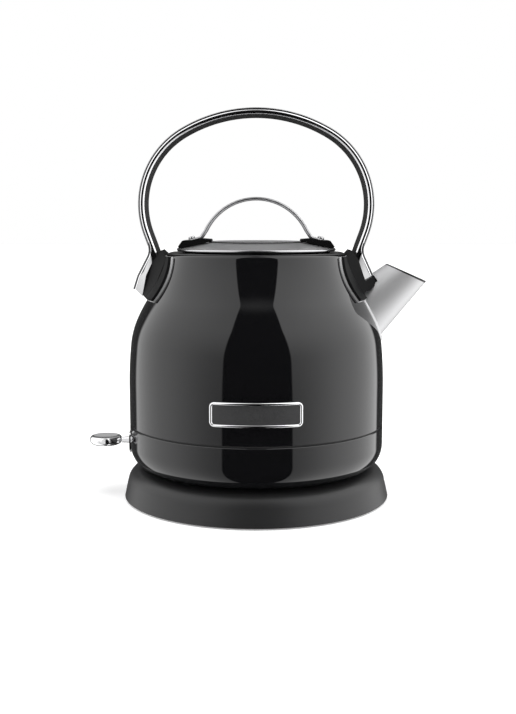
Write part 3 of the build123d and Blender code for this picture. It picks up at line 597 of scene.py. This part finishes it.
# ---- lid ----
def make_lid():
    flat_z, step_z, sheet = LID_FLAT_Z, LID_FLAT_Z - 0.65, 1.0
    top = rounded([(0, flat_z), (29.3, flat_z, 0.3), (29.5, step_z), (30.0, step_z), (48.4, up(111.8))], 5,
                  closed=False)
    cover = top + [(r, z - sheet) for r, z in reversed(top)]
    make_piece("lid_cover", mesh_from("lid_cover", [revolved(cover)]), LID_STEEL, "brushed_steel", "lid",
               "lid_cover", crease=20)
    # Black ring in the step round the lid's flat top: painted shadow, standing for the shaded gap between the
    # flat top and the cone.
    low_z, high_z = flat_z - 0.8, flat_z - 0.12
    groove = [(29.0, low_z), (30.1, low_z), (30.1, high_z), (29.3, high_z)]
    make_piece("lid_groove", mesh_from("lid_groove", [revolved(groove)]), PLAIN_BLACK, "plain_black", "lid",
               "lid_cover")
    bead_r = 1.0
    bead_x, bead_z = LID_RIM_R - bead_r, LID_RIM_Z + bead_r
    rim = [(47.2, LID_RIM_Z)]
    rim += [(bead_x + bead_r * cos(radians(turn)), bead_z + bead_r * sin(radians(turn)))
            for turn in range(-90, 121, 15)]
    rim += [(48.5, bead_z + 0.4), (48.3, LID_RIM_Z + 0.6), (47.2, LID_RIM_Z + 0.4)]
    make_piece("lid_rim", mesh_from("lid_rim", [revolved(rim)]), RIM_STEEL, "chrome", "lid", "lid_rim")


def make_strap():
    """Strap handle of the lid, bent from one bar with a foot at each end."""
    radius, thick, half_w = 36.4, 2.0, STRAP_HALF_W
    centre_z = STRAP_TOP - radius
    bend_x, bend_z = 34.6, up(119.4)
    tilt, foot_l = radians(14.9), 11.7
    foot_end = (bend_x + foot_l * cos(tilt), bend_z - foot_l * sin(tilt))
    rise = math.asin((bend_z + 1.2 - centre_z) / radius)
    turns = [rise + 0.09 + (pi / 2 - rise - 0.09) * i / 40 for i in range(41)]
    arch = [(radius * cos(turn), centre_z + radius * sin(turn)) for turn in turns]
    side = rounded([foot_end, (bend_x + 0.9, bend_z, 1.6), arch[0]], 8, closed=False)
    right = side + arch
    path = [(-x, z) for x, z in right] + right[-2::-1]
    edge_r, flat_y = thick / 2, half_w - 1.6
    turns = [pi * i / 10 for i in range(11)]
    half = [(edge_r * (1 - cos(turn)), half_w - edge_r * (1 - sin(turn))) for turn in turns]
    section = both_edges([(0.0, flat_y)] + half + [(thick, flat_y)])
    make_piece("strap", mesh_from("strap", [skin(swept(path, section))]), STRAP_STEEL, "brushed_steel", "lid",
               "lid_loop", crease=25)


# ---- lever ----
def make_lever():
    """Paddle of the lever: rounded at its edge and dished on top."""
    middle_x, half_l = (LEVER_TIP_X + LEVER_NECK_X) / 2, (LEVER_NECK_X - LEVER_TIP_X) / 2
    t = LEVER_HALF_T
    # Parts of the half length or width, and heights, from the middle of the underside round to the dish.
    profile = [(0.0, -t), (0.62, -t), (0.78, -0.93 * t), (0.9, -0.7 * t), (0.97, -0.35 * t), (1.0, 0.0),
               (0.995, 0.3 * t), (0.97, 0.6 * t), (0.93, 0.84 * t), (0.88, 0.97 * t), (0.83, t),
               (0.79, 0.95 * t), (0.74, 0.82 * t), (0.62, 0.66 * t), (0.4, 0.52 * t), (0.2, 0.46 * t),
               (0.0, 0.45 * t)]
    rings = []
    for i in range(96):
        turn = 2 * pi * i / 96
        rings.append([(middle_x + half_l * part * cos(turn), LEVER_HALF_W * part * sin(turn), LEVER_Z + z)
                      for part, z in profile])
    make_piece("lever_spoon", mesh_from("lever_spoon", [skin(rings, wrap=True)]), LEVER_CHROME, "chrome",
               "switch_lever", "lever_paddle", crease=60)


# ---- badge ----
def on_vessel(x, z, proud):
    """Point in front of the vessel's straight wall, at side distance x and height z."""
    grow = (BODY_R + proud) / BODY_R
    return x * grow, -math.sqrt(BODY_R ** 2 - x ** 2) * grow, z


def make_badge():
    proudest, edge, corner = 1.7, 2.0, 3.1
    half_w, half_h = BADGE_HALF_W / ((BODY_R + proudest) / BODY_R), BADGE_HALF_H
    corners = [(-half_w, -half_h, corner), (half_w, -half_h, corner), (half_w, half_h, corner),
               (-half_w, half_h, corner)]
    outline = rounded(corners, 10)
    outline.append(outline[0])
    steps = 240
    path = resampled(outline, steps + 1)[:-1]
    section = [(0.0, 0.05), (0.05, 0.7), (0.3, 1.3), (0.75, 1.62), (1.1, proudest), (1.45, 1.55), (1.8, 1.15),
               (edge, 0.7), (edge, 0.05)]
    rings = []
    for i, (x, z) in enumerate(path):
        ahead, behind = Vector(path[(i + 1) % steps]), Vector(path[i - 1])
        along = (ahead - behind).normalized()
        ring = []
        for inset, proud in section:
            ring.append(on_vessel(x - along.y * inset, BADGE_Z + z + along.x * inset, proud))
        rings.append(ring)
    make_piece("badge_frame", mesh_from("badge_frame", [skin(rings, wrap=True)]), CHROME, "chrome", "kettle",
               "badge_frame", crease=50)

    face_w, face_h = half_w - edge + 0.3, half_h - edge + 0.3
    rings = []
    for i in range(65):
        x = -face_w + 2 * face_w * i / 64
        rings.append([on_vessel(x, BADGE_Z + z, proud) for z, proud in
                      ((-face_h, 0.1), (face_h, 0.1), (face_h, 0.8), (-face_h, 0.8))])
    make_piece("badge_plate", mesh_from("badge_plate", [skin(rings)]), BADGE_DARK, "badge_black", "kettle",
               "badge_plate", crease=30)


make_vessel()
make_skirt()
make_spout()
make_handle()
make_lid()
make_strap()
make_lever()
make_badge()


# ---- stage, light and camera ----
# Places of the camera are millimetres, like the kettle's; the studio round it is laid out in metres.
CAMERA_BACK = 674.4      # distance of the camera from the kettle's axis
CAMERA_UP = 131.7        # height of the camera above the seam
CAMERA_SIDE = 1.1
CAMERA_TILT = 7.59       # degrees below level
CAMERA_LENS = 53.07


def make_camera():
    data = bpy.data.cameras.new("camera")
    data.lens = CAMERA_LENS
    data.sensor_width = 36
    camera = bpy.data.objects.new("camera", data)
    camera.location = (CAMERA_SIDE * MM, -CAMERA_BACK * MM, up(CAMERA_UP) * MM)
    camera.rotation_euler = (radians(90 - CAMERA_TILT), 0, 0)
    bpy.context.collection.objects.link(camera)
    bpy.context.scene.camera = camera


def make_world():
    """Studio with bright walls at both sides, a dark gap at the front, lit from above, and a dim back."""
    world = bpy.data.worlds.new("studio")
    bpy.context.scene.world = world
    world.use_nodes = True
    tree = world.node_tree
    tree.nodes.clear()

    def calc(operation, a, b=0.0):
        made = tree.nodes.new("ShaderNodeMath")
        made.operation = operation
        for place, value in zip(made.inputs, (a, b)):
            if isinstance(value, (int, float)):
                place.default_value = value
            else:
                tree.links.new(value, place)
        return made.outputs[0]

    def ramp(value, start, end, first=0.0, last=1.0):
        """Runs smoothly from first to last as value runs from start to end."""
        made = tree.nodes.new("ShaderNodeMapRange")
        made.interpolation_type = "SMOOTHSTEP"
        for place, number in zip(made.inputs[1:5], (start, end, first, last)):
            place.default_value = number
        tree.links.new(value, made.inputs["Value"])
        return made.outputs["Result"]

    def mix(a, b, part):
        return calc("ADD", calc("MULTIPLY", a, calc("SUBTRACT", 1.0, part)), calc("MULTIPLY", b, part))

    place = tree.nodes.new("ShaderNodeTexCoord")
    parts = tree.nodes.new("ShaderNodeSeparateXYZ")
    tree.links.new(place.outputs["Generated"], parts.inputs[0])
    x, y, z = parts.outputs
    around = calc("MULTIPLY", calc("ARCTAN2", x, calc("MULTIPLY", y, -1.0)), 180 / pi)
    rise = calc("MULTIPLY", calc("ARCSINE", z), 180 / pi)
    turn = calc("ABSOLUTE", calc("SUBTRACT", around, 0.95))
    low_wall = ramp(turn, 25.0, 88.0, 0.62, 1.5)
    high_wall = ramp(turn, 25.0, 88.0, 1.35, 1.7)
    wall = mix(low_wall, high_wall, ramp(rise, -12.0, 42.0))
    wall = calc("MULTIPLY", wall, ramp(around, -2.0, 2.0, 1.0, 1.28))
    past_gap = calc("ADD", turn, calc("MULTIPLY", rise, 0.077))
    open_part = ramp(past_gap, 29.2, 30.8)
    overhead = ramp(rise, 52.0, 66.0, 0.0, 0.5)
    front = mix(overhead, wall, open_part)
    back = ramp(rise, 12.0, 26.0, 0.08, 0.45)
    light = mix(front, back, ramp(turn, 134.0, 140.0))
    path = tree.nodes.new("ShaderNodeLightPath")
    seen = mix(light, 1.0, path.outputs["Is Camera Ray"])
    background = tree.nodes.new("ShaderNodeBackground")
    tree.links.new(seen, background.inputs["Strength"])
    background.inputs["Color"].default_value = (1, 1, 1, 1)
    out = tree.nodes.new("ShaderNodeOutputWorld")
    tree.links.new(background.outputs[0], out.inputs["Surface"])


def make_floor():
    mesh = bpy.data.meshes.new("floor")
    size = 6.0
    corners = [(-size, -size, 0), (size, -size, 0), (size, size, 0), (-size, size, 0)]
    mesh.from_pydata(corners, [], [(0, 1, 2, 3)])
    floor = bpy.data.objects.new("floor", mesh)
    bpy.context.collection.objects.link(floor)
    pale, shader = material("floor_pale", (0.9, 0.9, 0.9), 0.6)
    shader.inputs["Emission Color"].default_value = (1, 1, 1, 1)
    shader.inputs["Emission Strength"].default_value = 0.3
    mesh.materials.append(pale)
    floor.visible_glossy = False


def make_light(name, place, target, size, power):
    """Square light, in metres and watts, that shows in no reflection."""
    data = bpy.data.lights.new(name, "AREA")
    data.shape, data.size, data.energy = "SQUARE", size, power
    light = bpy.data.objects.new(name, data)
    light.visible_glossy = False
    light.location = place
    light.rotation_euler = (Vector(target) - Vector(place)).to_track_quat("-Z", "Y").to_euler()
    bpy.context.collection.objects.link(light)


CARD_WIDTH, CARD_HEIGHT, CARD_AHEAD = 0.46, 2.2, 0.7
CARD_LEFT = 190          # millimetres to the left of the lever's tip
CARD_BRIGHTNESS = 0.88


def make_lever_card():
    """White card in front of the switch lever, which only the lever sees."""
    data = bpy.data.lights.new("lever_card", "AREA")
    data.shape, data.size, data.size_y = "RECTANGLE", CARD_WIDTH, CARD_HEIGHT
    data.energy = CARD_BRIGHTNESS * pi * data.size * data.size_y
    card = bpy.data.objects.new("lever_card", data)
    card.location = ((LEVER_TIP_X - CARD_LEFT) * MM, -CARD_AHEAD, LEVER_Z * MM)
    card.rotation_euler = (pi / 2, 0, 0)
    card.visible_camera = False
    bpy.context.collection.objects.link(card)
    seen_by = bpy.data.collections.new("lever_only")
    for name in ("lever_spoon", "lever_arm"):
        seen_by.objects.link(bpy.data.objects[name])
    card.light_linking.receiver_collection = seen_by


make_camera()
make_world()
make_floor()
make_light("top_box", (0.0, -0.2, 1.2), (0, 0, 0.1), 0.9, 6)
make_lever_card()
bpy.context.scene.view_settings.view_transform = "Standard"
